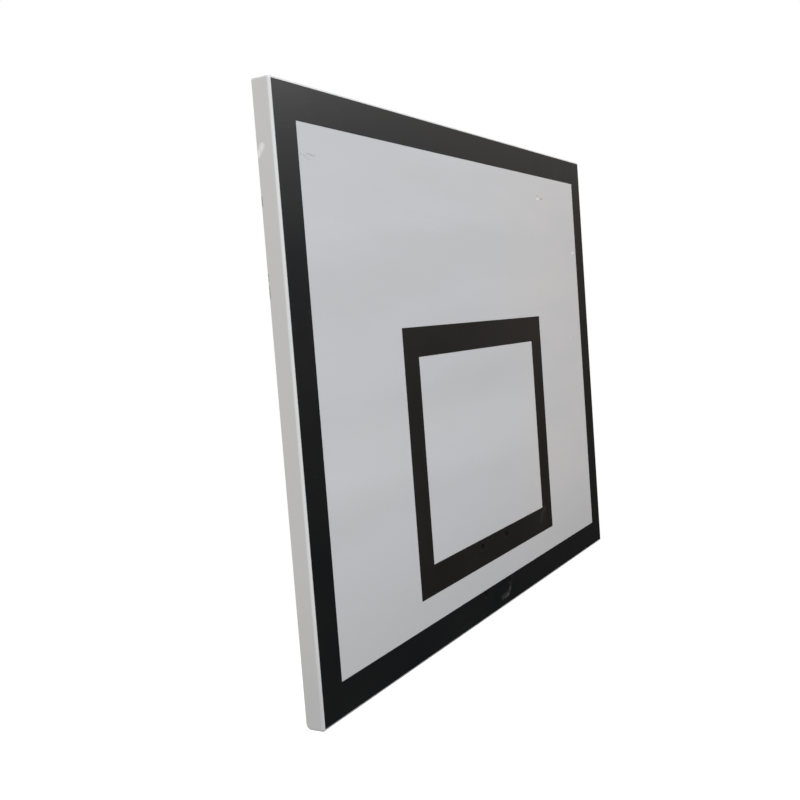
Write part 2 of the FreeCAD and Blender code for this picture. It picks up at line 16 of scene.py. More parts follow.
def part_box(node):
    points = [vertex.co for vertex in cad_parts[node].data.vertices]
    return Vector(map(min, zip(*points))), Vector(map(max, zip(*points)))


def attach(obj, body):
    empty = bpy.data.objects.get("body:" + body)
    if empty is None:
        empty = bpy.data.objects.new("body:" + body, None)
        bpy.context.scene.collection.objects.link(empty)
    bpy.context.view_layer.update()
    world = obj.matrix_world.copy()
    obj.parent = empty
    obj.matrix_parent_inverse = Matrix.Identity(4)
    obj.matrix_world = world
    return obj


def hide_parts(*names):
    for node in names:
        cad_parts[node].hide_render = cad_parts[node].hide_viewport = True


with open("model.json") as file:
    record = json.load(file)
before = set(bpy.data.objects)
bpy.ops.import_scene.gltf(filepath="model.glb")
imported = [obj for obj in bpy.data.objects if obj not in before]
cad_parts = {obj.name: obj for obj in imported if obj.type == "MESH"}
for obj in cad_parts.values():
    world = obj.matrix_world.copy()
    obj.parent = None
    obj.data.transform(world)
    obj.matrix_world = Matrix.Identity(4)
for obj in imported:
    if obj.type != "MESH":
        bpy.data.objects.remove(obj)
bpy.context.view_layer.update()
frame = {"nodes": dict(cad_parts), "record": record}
nodes = frame["nodes"]

# %% [markdown]
# ## The camera
# The photograph looks along the board from its left, a little downwards, with the camera slightly tilted. A
# view like this could be framed by eye, but the edges and lines of the board have known sizes, so the
# place, the direction and the lens were worked out from where these edges fall in the picture.

# %% Camera
CAMERA_PLACE = Vector((-1.7121, -0.8627, 0.1103))
CAMERA_HEADING = math.radians(60.06)
CAMERA_DIP = math.radians(4.41)
CAMERA_TILT = math.radians(-4.37)
CAMERA_LENS = 45.43
SENSOR_WIDTH = 36
NEAREST_SEEN = 0.05

forward = Vector((math.sin(CAMERA_HEADING) * math.cos(CAMERA_DIP),
                  math.cos(CAMERA_HEADING) * math.cos(CAMERA_DIP),
                  -math.sin(CAMERA_DIP)))
camera = bpy.data.objects.new("camera", bpy.data.cameras.new("camera"))
camera.data.sensor_width = SENSOR_WIDTH
camera.data.lens = CAMERA_LENS
camera.data.clip_start = NEAREST_SEEN
camera.rotation_mode = "QUATERNION"
camera.rotation_quaternion = forward.to_track_quat("-Z", "Y") @ Quaternion((0, 0, 1), CAMERA_TILT)
camera.location = CAMERA_PLACE
bpy.context.scene.collection.objects.link(camera)
bpy.context.scene.camera = camera
bpy.context.scene.view_settings.view_transform = "Standard"
print(f"camera {CAMERA_PLACE.length:.2f} m from the origin, {CAMERA_LENS} mm lens")

# %% [markdown]
# ## Nodes in few words
# Shader nodes are usually joined by hand in the editor. In a script the same few steps come back for every
# node: make it, set it, fill its inputs. One helper does all three, and takes either a value or another
# node's output for an input, so that the rest of the lesson reads like a list of nodes.

# %% Helpers for nodes
def put(tree, kind, sockets=(), **settings):
    """Adds a shader node and fills each named or numbered input with a value or a link."""
    node = tree.nodes.new("ShaderNode" + kind)
    for name, setting in settings.items():
        setattr(node, name, setting)
    for name, filling in dict(sockets).items():
        if isinstance(filling, bpy.types.NodeSocket):
            tree.links.new(filling, node.inputs[name])
        else:
            node.inputs[name].default_value = filling
    return node


def calc(tree, operation, first, second=0.0):
    """One sum on two values."""
    return put(tree, "Math", {0: first, 1: second}, operation=operation).outputs[0]


def ramp(tree, value, low, high, start=0.0, end=1.0):
    """Goes smoothly from start to end while the value goes from low to high, and stays there outside."""
    return put(tree, "MapRange",
               {"Value": value, "From Min": low, "From Max": high, "To Min": start, "To Max": end},
               interpolation_type="SMOOTHSTEP").outputs[0]


def noise(tree, place, scale, detail=2.0, rough=0.5):
    return put(tree, "TexNoise",
               {"Vector": place, "Scale": scale, "Detail": detail, "Roughness": rough}).outputs[0]


print("nodes are made, set and filled in one call each")

# %% [markdown]
# **Vectors.** A place, a direction and a normal are vectors: three numbers that share one socket. Distances
# and angles between them are worked out by the Vector Math node, which has an operation for each. These few
# are all that the finishes need.

# %% Helpers for vectors
def vector(tree, operation, *fillings):
    """One sum on vectors, which gives a vector."""
    return put(tree, "VectorMath", dict(enumerate(fillings)), operation=operation).outputs[0]


def length(tree, arrow):
    return put(tree, "VectorMath", {0: arrow}, operation="LENGTH").outputs["Value"]


def dot(tree, first, second):
    return put(tree, "VectorMath", {0: first, 1: second}, operation="DOT_PRODUCT").outputs["Value"]


def parts(tree, arrow):
    """The X, Y and Z outputs of a vector."""
    return put(tree, "SeparateXYZ", {0: arrow}).outputs


print("vectors are added, measured and taken apart")

# %% [markdown]
# **Colours.** Screens and shaders count differently: a grey that looks half bright gives off only a fifth
# of the light of white. Colours are easier to judge as they look, so they are written like that and changed
# to light by one helper. Another helper lays one colour over another where a mask says so, as a painter
# would.

# %% Helpers for colours
def tone(red, green, blue):
    """A colour given as it looks on a screen, from 0 to 255, as the light that the shaders count in."""
    share = np.array([red, green, blue]) / 255
    light = np.where(share <= 0.04045, share / 12.92, ((share + 0.055) / 1.055) ** 2.4)
    return (*light.tolist(), 1.0)


def blend(tree, mask, first, second, strength=None):
    """The first colour where the mask is 0, and the second, or as much of it as the strength, where it is 1."""
    if strength is not None:
        mask = calc(tree, "MULTIPLY", mask, strength)
    return put(tree, "Mix", {0: mask, 6: first, 7: second}, data_type="RGBA").outputs[2]


print(f"mid grey is {tone(128, 128, 128)[0]:.3f} as light")

# %% [markdown]
# ## The studio
# The board hangs in a white studio. What its gloss mirrors is that white as well, apart from the front of
# the room, which lies in shade. The black lines mirror that shade: they are greyest at the top of the board
# and nearly black at its foot. The part of the room near the board is bluish from the windows, and the part
# far to the right is warmer. A picture of a room could do the same, but two gradients over the height of
# the ray are enough, and they need no file.

# %% Shades of the room
ROOM = [
    # Height of a direction, and how bright the room in front is there, near the board and far to the right
    (-0.30, 0.05, 0.00),
    (-0.10, 0.08, 0.06),
    (0.08, 0.13, 0.12),
    (0.11, 0.34, 0.17),
    (0.25, 0.34, 0.50),
    (0.50, 0.30, 0.70),
]
NEAR_TINT = (0.85, 1.0, 1.2)
FAR_TINT = (1.15, 1.0, 0.85)


def room_shades(tree, height, column, tint):
    """A colour ramp over the heights of the room, with one column of its levels."""
    lowest, highest = ROOM[0][0], ROOM[-1][0]
    climb = put(tree, "MapRange", {"Value": height, "From Min": lowest, "From Max": highest}).outputs[0]
    shades = put(tree, "ValToRGB", {0: climb})
    for _ in ROOM[1:-1]:
        shades.color_ramp.elements.new(0.5)
    for stop, levels in zip(shades.color_ramp.elements, ROOM):
        stop.position = (levels[0] - lowest) / (highest - lowest)
        stop.color = (*(levels[column] * share for share in tint), 1)
    return shades.outputs[0]


print(f"{len(ROOM)} shades in the room")

# %% [markdown]
# **The world.** Blender asks the world for light wherever a ray leaves the scene. The Light Path node tells
# what kind of ray it is, so one world can serve three ends: the camera sees plain white, gloss mirrors the
# shaded room, and every other ray gets an even fill light that is too soft to show a direction.

# %% World
WHITE = (1, 1, 1, 1)
FILL_LEVEL = 0.63
FILL_COLOUR = (1.0, 0.99, 0.985, 1)
# Where the shades of the far right and of the front start and where they are full, as shares of a direction
FAR_RIGHT = (0.78, 0.95)
FRONT = (0.20, 0.02)

world = bpy.data.worlds.new("studio")
world.use_nodes = True
bpy.context.scene.world = world
tree = world.node_tree
tree.nodes.clear()
ray = put(tree, "LightPath").outputs
way = parts(tree, put(tree, "TexCoord").outputs["Generated"])
far_right = ramp(tree, way["X"], *FAR_RIGHT)
front = ramp(tree, way["Y"], *FRONT)
near_room = room_shades(tree, way["Z"], 1, NEAR_TINT)
far_room = room_shades(tree, way["Z"], 2, FAR_TINT)
mirrored = blend(tree, front, WHITE, blend(tree, far_right, near_room, far_room))
backdrop = put(tree, "Background", {0: blend(tree, ray["Is Camera Ray"], mirrored, WHITE), 1: 1.0})
fill = put(tree, "Background", {0: FILL_COLOUR, 1: FILL_LEVEL})
seen = calc(tree, "MAXIMUM", ray["Is Camera Ray"], ray["Is Glossy Ray"])
seen = calc(tree, "MAXIMUM", seen, ray["Is Transmission Ray"])
studio = put(tree, "MixShader", {0: seen, 1: fill.outputs[0], 2: backdrop.outputs[0]})
put(tree, "OutputWorld", {0: studio.outputs[0]})
print(f"fill light at {FILL_LEVEL} of a white wall")

# %% [markdown]
# ## Lamps
# Large soft lamps stand in for windows: one high on the left in front, a weaker and warmer one on the
# right, one for the edge on the left, one overhead and one for the back. Small lamps would throw hard
# shadows of the tubes on the sheet. A large square one has a soft edge to its shadow, as daylight indoors
# has.

# %% Lamps
LAMPS = [
    # Name, place, what it faces, size, power, colour
    ("front_lamp", (-0.9, -2.4, 2.3), (0, 0, 0.2), 2.4, 50, (0.97, 0.99, 1.0)),
    ("right_lamp", (2.3, -2.6, 2.2), (0, 0, 0.1), 1.6, 25, (1.0, 0.96, 0.92)),
    ("left_lamp", (-2.4, 0.15, 1.7), (-0.6, 0, 0), 1.4, 12, (1.0, 0.98, 0.95)),
    ("top_lamp", (0, 0, 2.6), (0, 0, 0), 1.6, 6, (1.0, 1.0, 1.0)),
    ("back_lamp", (1.2, 2.6, 2.0), (0, 0, 0), 2.4, 48, (1.0, 0.99, 0.97)),
]
for name, place, aim, size, power, colour in LAMPS:
    light = bpy.data.lights.new(name, "AREA")
    light.size = size
    light.energy = power
    light.color = colour
    holder = bpy.data.objects.new(name, light)
    holder.location = place
    holder.rotation_mode = "QUATERNION"
    holder.rotation_quaternion = (Vector(aim) - Vector(place)).to_track_quat("-Z", "Y")
    bpy.context.scene.collection.objects.link(holder)
print(f"{len(LAMPS)} lamps, {sum(values[4] for values in LAMPS)} watts in all")

# %% [markdown]
# ## Floor
# The pale floor is far below the board, as under a board on its post. A plane would do, but its corners
# would show from above. A round sheet can fade evenly to its rim, so it is made from rings.

# %% Floor sheet
FLOOR_LEVEL = -1.1
FLOOR_REACH = 2.6


def disc(reach, level, rings=24, columns=96):
    """A flat round sheet: radius from 0 to the reach on one parameter and a full turn on the other."""
    radius = np.linspace(0, reach, rings + 1)[1:, None]
    turn = np.linspace(0, 2 * math.pi, columns, endpoint=False)[None, :]
    x, y = radius * np.cos(turn), radius * np.sin(turn)
    points = np.stack([x, y, np.full_like(x, level)], axis=-1).reshape(-1, 3)
    here = np.arange(rings * columns).reshape(rings, columns)
    beside = np.roll(here, -1, axis=1)
    quads = np.stack([here[:-1], here[1:], beside[1:], beside[:-1]], axis=-1).reshape(-1, 4)
    middle = len(points)
    fan = np.stack([np.full(columns, middle), here[0], beside[0]], axis=-1)
    return np.vstack([points, [[0, 0, level]]]), quads.tolist() + fan.tolist()


points, faces = disc(FLOOR_REACH, FLOOR_LEVEL)
mesh = bpy.data.meshes.new("floor")
mesh.from_pydata(points.tolist(), [], faces)
floor = bpy.data.objects.new("floor", mesh)
bpy.context.scene.collection.objects.link(floor)
print(f"floor {FLOOR_REACH} m in radius, {-FLOOR_LEVEL} m below the middle of the board")

# %% [markdown]
# **Its finish.** The floor fades into the white of the studio, so there is no horizon, and it keeps the
# shadow that the board throws on it. A matt grey takes the shadow, and a glow that only the camera sees
# lifts it to near white. Mirrored rays pass through it to the studio, which has its own floor shade.

# %% Floor finish
FADE_START, FADE_END = 0.5, 0.97
SPECKLE_SCALE = 900
DARK_SPECKLE = (0.46, 0.46, 0.46, 1)
PALE_SPECKLE = (0.52, 0.52, 0.52, 1)
FLOOR_GLOW = 0.66

pale_floor = bpy.data.materials.new("pale_floor")
pale_floor.use_nodes = True
tree = pale_floor.node_tree
tree.nodes.clear()
ray = put(tree, "LightPath").outputs
place = put(tree, "TexCoord").outputs["Object"]
reach = length(tree, vector(tree, "MULTIPLY", place, (1, 1, 0)))
fade = ramp(tree, reach, FADE_START * FLOOR_REACH, FADE_END * FLOOR_REACH)
speckle = ramp(tree, noise(tree, place, SPECKLE_SCALE, 3), 0.3, 0.7)
matt = put(tree, "BsdfDiffuse", {0: blend(tree, speckle, DARK_SPECKLE, PALE_SPECKLE)})
glow = put(tree, "Emission", {0: WHITE, 1: calc(tree, "MULTIPLY", ray["Is Camera Ray"], FLOOR_GLOW)})
surface = put(tree, "AddShader", {0: matt.outputs[0], 1: glow.outputs[0]})
clear = put(tree, "BsdfTransparent")
unseen = calc(tree, "MAXIMUM", fade, ray["Is Glossy Ray"])
faded = put(tree, "MixShader", {0: unseen, 1: surface.outputs[0], 2: clear.outputs[0]})
put(tree, "OutputMaterial", {0: faded.outputs[0]})
mesh.materials.append(pale_floor)
print(f"floor fades from {FADE_START * FLOOR_REACH:.1f} m to {FADE_END * FLOOR_REACH:.1f} m")

# %% [markdown]
# ## Shared effects
# Coated steel, film and plated steel have some things in common: a fine unevenness, scratches, chips, dust
# on what faces up, and wear on edges. Each of these is a node group, made once, and placed in every finish
# with its own values. The groups only work out masks and heights. The shader itself stays in the finish.

# %% A new group
def new_group(name, inputs, output):
    """An empty group with value or vector inputs and one value to give out."""
    group = bpy.data.node_groups.new(name, "ShaderNodeTree")
    for socket, start in inputs.items():
        kind = "NodeSocketVector" if isinstance(start, tuple) else "NodeSocketFloat"
        group.interface.new_socket(socket, in_out="INPUT", socket_type=kind).default_value = start
    group.interface.new_socket(output, in_out="OUTPUT", socket_type="NodeSocketFloat")
    start = group.nodes.new("NodeGroupInput")
    end = group.nodes.new("NodeGroupOutput")
    return group, start.outputs, end.inputs[output]


def use(tree, group, **sockets):
    """Places a group in a finish and gives back what it works out."""
    fillings = {name.replace("_", " "): filling for name, filling in sockets.items()}
    return put(tree, "Group", fillings, node_tree=group).outputs[0]


NOWHERE = (0.0, 0.0, 0.0)
print("groups give out one value each")

# %% [markdown]
# **Orange peel.** Powder coat is sprayed on dry and melts in an oven. It never runs quite level, and is
# left with dimples one to three millimetres wide. Two noises of different size, the finer one weaker, give
# that height.

# %% Orange peel
PEEL_SCALE = 420.0
FINER = 2.7
FINE_SHARE = 0.35

orange_peel, given, result = new_group("orange_peel", {"Place": NOWHERE, "Scale": PEEL_SCALE}, "Height")
tree = orange_peel
broad = noise(tree, given["Place"], given["Scale"], 1.0)
fine = noise(tree, given["Place"], calc(tree, "MULTIPLY", given["Scale"], FINER), 1.0)
tree.links.new(calc(tree, "ADD", broad, calc(tree, "MULTIPLY", fine, FINE_SHARE)), result)
print("orange peel: dimples about", round(1000 / PEEL_SCALE, 1), "mm apart")

# %% [markdown]
# **Scratches.** Fine scratches are long in one direction and thin in the other. A noise that is stretched
# along one axis has long level lines, and the thin band around one level is a set of hairlines. A second,
# broad noise keeps them in patches, because a board isn't scratched evenly.

# %% Scratches
HAIR_STRETCH = (5, 170, 170)
HAIR_BAND = 0.012
PATCH_SCALE = 9.0
PATCH_RANGE = (0.50, 0.72)

scratches, given, result = new_group(
    "scratches", {"Place": NOWHERE, "Turn": NOWHERE, "Amount": 0.5}, "Mask")
tree = scratches
turned = put(tree, "Mapping", {"Vector": given["Place"], "Rotation": given["Turn"], "Scale": HAIR_STRETCH})
lines = noise(tree, turned.outputs[0], 1.0, 2.0)
off_level = calc(tree, "ABSOLUTE", calc(tree, "SUBTRACT", lines, 0.5))
hair = ramp(tree, off_level, 0.0, HAIR_BAND, 1.0, 0.0)
patch = ramp(tree, noise(tree, given["Place"], PATCH_SCALE, 2.0), *PATCH_RANGE)
tree.links.new(calc(tree, "MULTIPLY", calc(tree, "MULTIPLY", hair, patch), given["Amount"]), result)
print("scratches: hairlines in patches about", round(1000 / PATCH_SCALE), "mm across")

# %% [markdown]
# **Specks.** Small chips and grains of dirt are scattered cells. A Voronoi pattern gives each cell a middle
# and a random colour. Only a small share of the cells get a dot, those with the lowest random values, and
# the dot's size follows from the same value.

# %% Specks
SMALLEST_DOT = 0.03
DOT_GROWTH = 0.09
DOT_EDGE = (0.6, 1.0)

specks, given, result = new_group("specks", {"Place": NOWHERE, "Scale": 60.0, "Share": 0.05}, "Mask")
tree = specks
cells = put(tree, "TexVoronoi", {"Vector": given["Place"], "Scale": given["Scale"]})
chance = parts(tree, cells.outputs["Color"])["X"]
over = calc(tree, "SUBTRACT", given["Share"], chance)
chosen = ramp(tree, over, 0.0, 0.001)
growth = calc(tree, "MULTIPLY", calc(tree, "DIVIDE", over, given["Share"]), DOT_GROWTH)
reach = calc(tree, "ADD", growth, SMALLEST_DOT)
speck = ramp(tree, calc(tree, "DIVIDE", cells.outputs["Distance"], reach), *DOT_EDGE, 1.0, 0.0)
tree.links.new(calc(tree, "MULTIPLY", speck, chosen), result)
print("specks: a dot in a share of the cells")

# %% [markdown]
# **Dust.** Dust settles on what faces up. The upward part of the normal gives where, and a noise breaks it
# into a cloudy layer.

# %% Dust
LEDGE_RANGE = (0.35, 0.95)
DUST_SCALE = 35.0
DUST_RANGE = (0.30, 0.72)
THINNEST_DUST = 0.25

dust, given, result = new_group("dust", {"Place": NOWHERE, "Amount": 0.5}, "Mask")
tree = dust
upward = parts(tree, put(tree, "NewGeometry").outputs["Normal"])["Z"]
ledge = ramp(tree, upward, *LEDGE_RANGE)
cloud = ramp(tree, noise(tree, given["Place"], DUST_SCALE, 5.0, 0.6), *DUST_RANGE, THINNEST_DUST, 1.0)
tree.links.new(calc(tree, "MULTIPLY", calc(tree, "MULTIPLY", ledge, cloud), given["Amount"]), result)
print("dust: on faces that look up")

# %% [markdown]
# **Worn edges.** Handling rubs the edges first. The Bevel node gives the normal as if each edge were
# rounded. Where that differs from the true normal, an edge is near, and a noise makes the wear uneven.

# %% Worn edges
EDGE_RANGE = (0.99, 0.86)
WEAR_SCALE = 130.0
WEAR_RANGE = (0.42, 0.62)

worn_edges, given, result = new_group(
    "worn_edges", {"Place": NOWHERE, "Radius": 0.001, "Amount": 0.5}, "Mask")
tree = worn_edges
rounded = put(tree, "Bevel", {"Radius": given["Radius"]}, samples=4).outputs[0]
same = dot(tree, rounded, put(tree, "NewGeometry").outputs["Normal"])
edge = ramp(tree, same, *EDGE_RANGE)
uneven = ramp(tree, noise(tree, given["Place"], WEAR_SCALE, 4.0, 0.6), *WEAR_RANGE)
tree.links.new(calc(tree, "MULTIPLY", calc(tree, "MULTIPLY", edge, uneven), given["Amount"]), result)
print("worn edges: where a rounded normal leaves the true one")

# %% [markdown]
# **Single strokes.** A few marks on the board have a place of their own. A stroke is every point that is
# nearer than its half width to a short line: the nearest place on the line is found by clamping the
# distance along it.

# %% Strokes
STROKE_CORE = 0.20

stroke, given, result = new_group(
    "stroke", {"Place": NOWHERE, "Middle": NOWHERE, "Along": (1.0, 0.0, 0.0),
               "Half Length": 0.01, "Half Width": 0.001}, "Mask")
tree = stroke
off = vector(tree, "SUBTRACT", given["Place"], given["Middle"])
run = calc(tree, "MINIMUM", dot(tree, off, given["Along"]), given["Half Length"])
run = calc(tree, "MAXIMUM", run, calc(tree, "MULTIPLY", given["Half Length"], -1.0))
nearest = put(tree, "VectorMath", {0: given["Along"], "Scale": run}, operation="SCALE").outputs[0]
gap = length(tree, vector(tree, "SUBTRACT", off, nearest))
share = calc(tree, "DIVIDE", gap, given["Half Width"])
tree.links.new(ramp(tree, share, STROKE_CORE, 1.0, 1.0, 0.0), result)
print("stroke: points near a short line")

# %% [markdown]
# **Paint in the holes.** The four bolt holes of the ring go through the black lines, and their walls are
# black as well. The holes are the corners of a rectangle. Folding the board about the middle of that
# rectangle puts all four on one spot, so the mask is the distance from that spot alone.

# %% Paint in the holes
PAINT_MARGIN = 0.0006
PAINT_EDGE = 0.0003
HOLE_BLACK = tone(10, 10, 10)

ring_mount = next(mount for mount in frame["record"]["mounts"] if mount["name"] == "ring_bolts")
ring_sizes = {name: size / 1000 for name, size in ring_mount["dims"].items()}
folded_hole = (ring_sizes["spacing_x_mm"] / 2, 0.0, ring_sizes["spacing_y_mm"] / 2)
paint_radius = ring_sizes["hole_r_mm"] + PAINT_MARGIN

hole_paint, given, result = new_group("hole_paint", {"Place": NOWHERE}, "Mask")
tree = hole_paint
off = vector(tree, "SUBTRACT", given["Place"], ring_mount["pos_m"])
aside = vector(tree, "SUBTRACT", vector(tree, "ABSOLUTE", off), folded_hole)
gap = length(tree, vector(tree, "MULTIPLY", aside, (1, 0, 1)))
tree.links.new(ramp(tree, gap, paint_radius, paint_radius + PAINT_EDGE, 1.0, 0.0), result)
print(f"hole paint: within {1000 * paint_radius:.1f} mm of the ring's four holes")

# %% [markdown]
# ## Finishes
# Every finish starts in the same way: a material with one shader, the values that are the same all over set
# on the shader's own sockets, and the place on the piece in metres, so that a pattern has a true size. A
# fine relief is too small to model, so it is a bump: the shader tilts the normal as if the surface had that
# height.

# %% Start of a finish
def new_finish(name, **constants):
    """A material with one shader, whose plain values are set on its own sockets."""
    material = bpy.data.materials.new(name)
    material.use_nodes = True
    tree = material.node_tree
    shader = tree.nodes["Principled BSDF"]
    for socket, setting in constants.items():
        shader.inputs[socket.replace("_", " ")].default_value = setting
    return material, tree, shader, put(tree, "TexCoord").outputs["Object"]


def add_bump(tree, shader, height, depth):
    """A height over the surface, with its full depth in metres."""
    bump = put(tree, "Bump", {"Height": height, "Distance": depth, "Strength": 1.0})
    tree.links.new(bump.outputs[0], shader.inputs["Normal"])


COAT_IOR = 1.5
print("finishes start from one shader each")

# %% [markdown]
# ## White powder coat on the pan
# The face is a cool white that has gone a little grey, in broad faint clouds that lean with the way it is
# wiped. Towards the right it is painted warmer and a little brighter, as warm light from that side shows it,
# and towards the foot it is darker. The folds are painted paler as a highlight, and a painted shade darkens
# the surfaces that face down under the lower edge. A picture of the surface could hold all this, but nodes
# stay sharp at any distance.

# %% Powder coat of the pan
WHITE_COAT = tone(199, 201, 205)
CLOUDY_COAT = tone(194, 196, 199)
# Painted warm light: the tone that the right of the face is tinted towards
WARM_LIT_COAT = tone(205, 203, 203)
RIM_COAT = tone(200, 200, 199)
# Painted highlight: the paler tone of the rounded folds
FOLD_HIGHLIGHT = tone(226, 227, 227)
# The darker tone towards the foot of the face
LOWER_FACE_TONE = tone(187, 187, 189)
# Painted shade: the tone of surfaces that face down
UNDERSIDE_SHADE = tone(140, 138, 134)
WIPING_TURN = (0.0, -0.13, 0.0)
WIPING_STRETCH = (1.6, 4.0, 9.0)
# Where each effect starts and where it is full, in metres along X, Y or Z
WARM_LIT_RANGE = (-0.10, 0.40)
RIM_RANGE = (-0.0595, -0.0560)
LOWER_FACE_RANGE = (-0.16, -0.42)
LOWER_FACE_WAVER = 0.08

face_coat, tree, shader, place = new_finish("face_coat", IOR=COAT_IOR)
swept = put(tree, "Mapping",
            {"Vector": place, "Rotation": WIPING_TURN, "Scale": WIPING_STRETCH}).outputs[0]
clouds = ramp(tree, noise(tree, swept, scale=1.0, detail=4.0), 0.32, 0.68)
colour = blend(tree, clouds, WHITE_COAT, CLOUDY_COAT)
spot = parts(tree, place)
# Painted warm light: towards the right the coat is tinted warmer and a little brighter, as warm light from that
# side shows it
warm_lit = ramp(tree, spot["X"], *WARM_LIT_RANGE)
warm_lit = calc(tree, "MULTIPLY", warm_lit, ramp(tree, clouds, 0.0, 1.0, 1.0, 0.6))
colour = blend(tree, warm_lit, colour, WARM_LIT_COAT)
colour = blend(tree, ramp(tree, spot["Y"], *RIM_RANGE), colour, RIM_COAT)
normal = parts(tree, put(tree, "NewGeometry").outputs["Normal"])
facing = calc(tree, "ABSOLUTE", normal["Y"])
# Painted highlight: the rounded folds between the face and the returns are coloured paler, as light catching
# the bend shows them
folded = calc(tree, "MULTIPLY", ramp(tree, facing, 0.05, 0.40), ramp(tree, facing, 0.995, 0.90))
colour = blend(tree, folded, colour, FOLD_HIGHLIGHT, strength=0.8)
# Darker towards the foot of the face, with an uneven upper edge
lower_face_height = calc(tree, "ADD", spot["Z"], calc(tree, "MULTIPLY", clouds, LOWER_FACE_WAVER))
colour = blend(tree, ramp(tree, lower_face_height, *LOWER_FACE_RANGE, 0.0, 0.6), colour, LOWER_FACE_TONE)
# Painted shade: surfaces that face down are darkened, as the shade under the lower edge falls on them
colour = blend(tree, ramp(tree, normal["Z"], -0.05, -0.55, 0.0, 0.55), colour, UNDERSIDE_SHADE)
print("face coat: clouds, a sunned side, a splashed foot and pale folds")

# %% [markdown]
# ** Wear of the face.** Balls and branches leave hairlines and grains of dirt all over the coat. Across the
# middle a broad pale band is a painted sheen, a reflection put into the colour. The band is one very wide
# stroke, and it is kept to the outside of the sheet by the normal, because the sheet is so thin that the band
# would also show inside the pan.

# %% Wear of the face
DIRT = tone(92, 88, 82)
HAIRLINE = tone(168, 170, 172)
# Painted reflection: the tone, place and size of the pale band
SHEEN_TONE = tone(211, 213, 216)
SHEEN_MIDDLE = (-0.15, -0.060, -0.095)
SHEEN_HALF_LENGTH = 0.35
SHEEN_HALF_WIDTH = 0.10

hairs = use(tree, scratches, Place=place, Turn=(0.0, 0.5, 0.0), Amount=0.22)
colour = blend(tree, hairs, colour, HAIRLINE)
grains = use(tree, specks, Place=place, Scale=34.0, Share=0.012)
colour = blend(tree, grains, colour, DIRT, strength=0.55)
outside = ramp(tree, normal["Y"], 0.5, 0.4)
# Painted reflection: a broad pale band across the middle stands in for a sheen on the coat
painted_sheen = use(tree, stroke, Place=place, Middle=SHEEN_MIDDLE,
            Half_Length=SHEEN_HALF_LENGTH, Half_Width=SHEEN_HALF_WIDTH)
colour = blend(tree, calc(tree, "MULTIPLY", painted_sheen, outside), colour, SHEEN_TONE, strength=0.30)
print(f"wiped band {2 * SHEEN_HALF_LENGTH:.1f} m long")

# %% [markdown]
# **Marks with a place.** A few marks sit where the photograph shows them: three short scratches near the
# upper left corner, a chip at the top right with a scrape beside it, two pale spots near the right side,
# and a pale rub and thin dark scrapes on the left edge. A clean stroke looks drawn, so a noise shakes the
# place before the stroke is worked out, which makes the outlines uneven.

# %% Marks on the face
BARE = tone(236, 236, 233)
SHAKE = 0.006
SHAKE_SCALE = 210.0
FACE_MARKS = [
    # Middle, direction, half length, half width, strength, colour
    ((-0.5347, -0.060, 0.3510), (0.996, 0.0, -0.084), 0.0072, 0.0015, 0.26, DIRT),
    ((-0.5156, -0.060, 0.3524), (0.994, 0.0, -0.107), 0.0103, 0.0018, 0.28, DIRT),
    ((-0.5245, -0.060, 0.3465), (0.990, 0.0, -0.142), 0.0060, 0.0015, 0.18, DIRT),
    ((0.3520, -0.060, 0.3490), (1.0, 0.0, 0.0), 0.0060, 0.0022, 0.36, DIRT),
    ((0.3290, -0.060, 0.3545), (1.0, 0.0, 0.0), 0.0020, 0.0028, 0.26, DIRT),
    ((0.3290, -0.060, 0.3480), (1.0, 0.0, 0.0), 0.0050, 0.0024, 0.90, BARE),
    ((0.5260, -0.060, 0.2385), (1.0, 0.0, 0.0), 0.0060, 0.0042, 0.60, BARE),
    ((0.4775, -0.060, 0.0463), (0.0, 0.0, 1.0), 0.0040, 0.0035, 0.40, BARE),
    ((-0.600, -0.0318, 0.2850), (0.0, 0.0, 1.0), 0.0055, 0.0018, 0.60, DIRT),
    ((-0.600, -0.0318, 0.1830), (0.0, 0.0, 1.0), 0.0045, 0.0018, 0.50, DIRT),
    ((-0.600, -0.0318, 0.1635), (0.0, 0.0, 1.0), 0.0075, 0.0018, 0.55, DIRT),
    ((-0.600, -0.0360, 0.3530), (0.0, 0.560, -0.829), 0.0065, 0.0062, 0.75, BARE),
]
wobble = put(tree, "TexNoise", {"Vector": place, "Scale": SHAKE_SCALE, "Detail": 3.0}).outputs["Color"]
shaken = vector(tree, "MULTIPLY_ADD", wobble, (SHAKE, 0, SHAKE), (-SHAKE / 2, 0, -SHAKE / 2))
ragged = vector(tree, "ADD", place, shaken)
for middle, along, half_length, half_width, strength, paint in FACE_MARKS:
    mark = use(tree, stroke, Place=ragged, Middle=middle, Along=along,
               Half_Length=half_length, Half_Width=half_width)
    colour = blend(tree, calc(tree, "MULTIPLY", mark, outside), colour, paint, strength=strength)
print(f"face coat: {len(FACE_MARKS)} marks at their places")

# %% [markdown]
# **Dust and gloss of the face.** Dust lies on the upper fold, and the walls of the ring's holes are black.
# The coat is semi-gloss: rougher where it is dusty or scratched, and quite matt inside the holes.

# %% Dust and gloss of the face
FACE_DUST = tone(150, 144, 134)
FACE_GLOSS = (0.13, 0.20)
FACE_PEEL_DEPTH = 0.000012

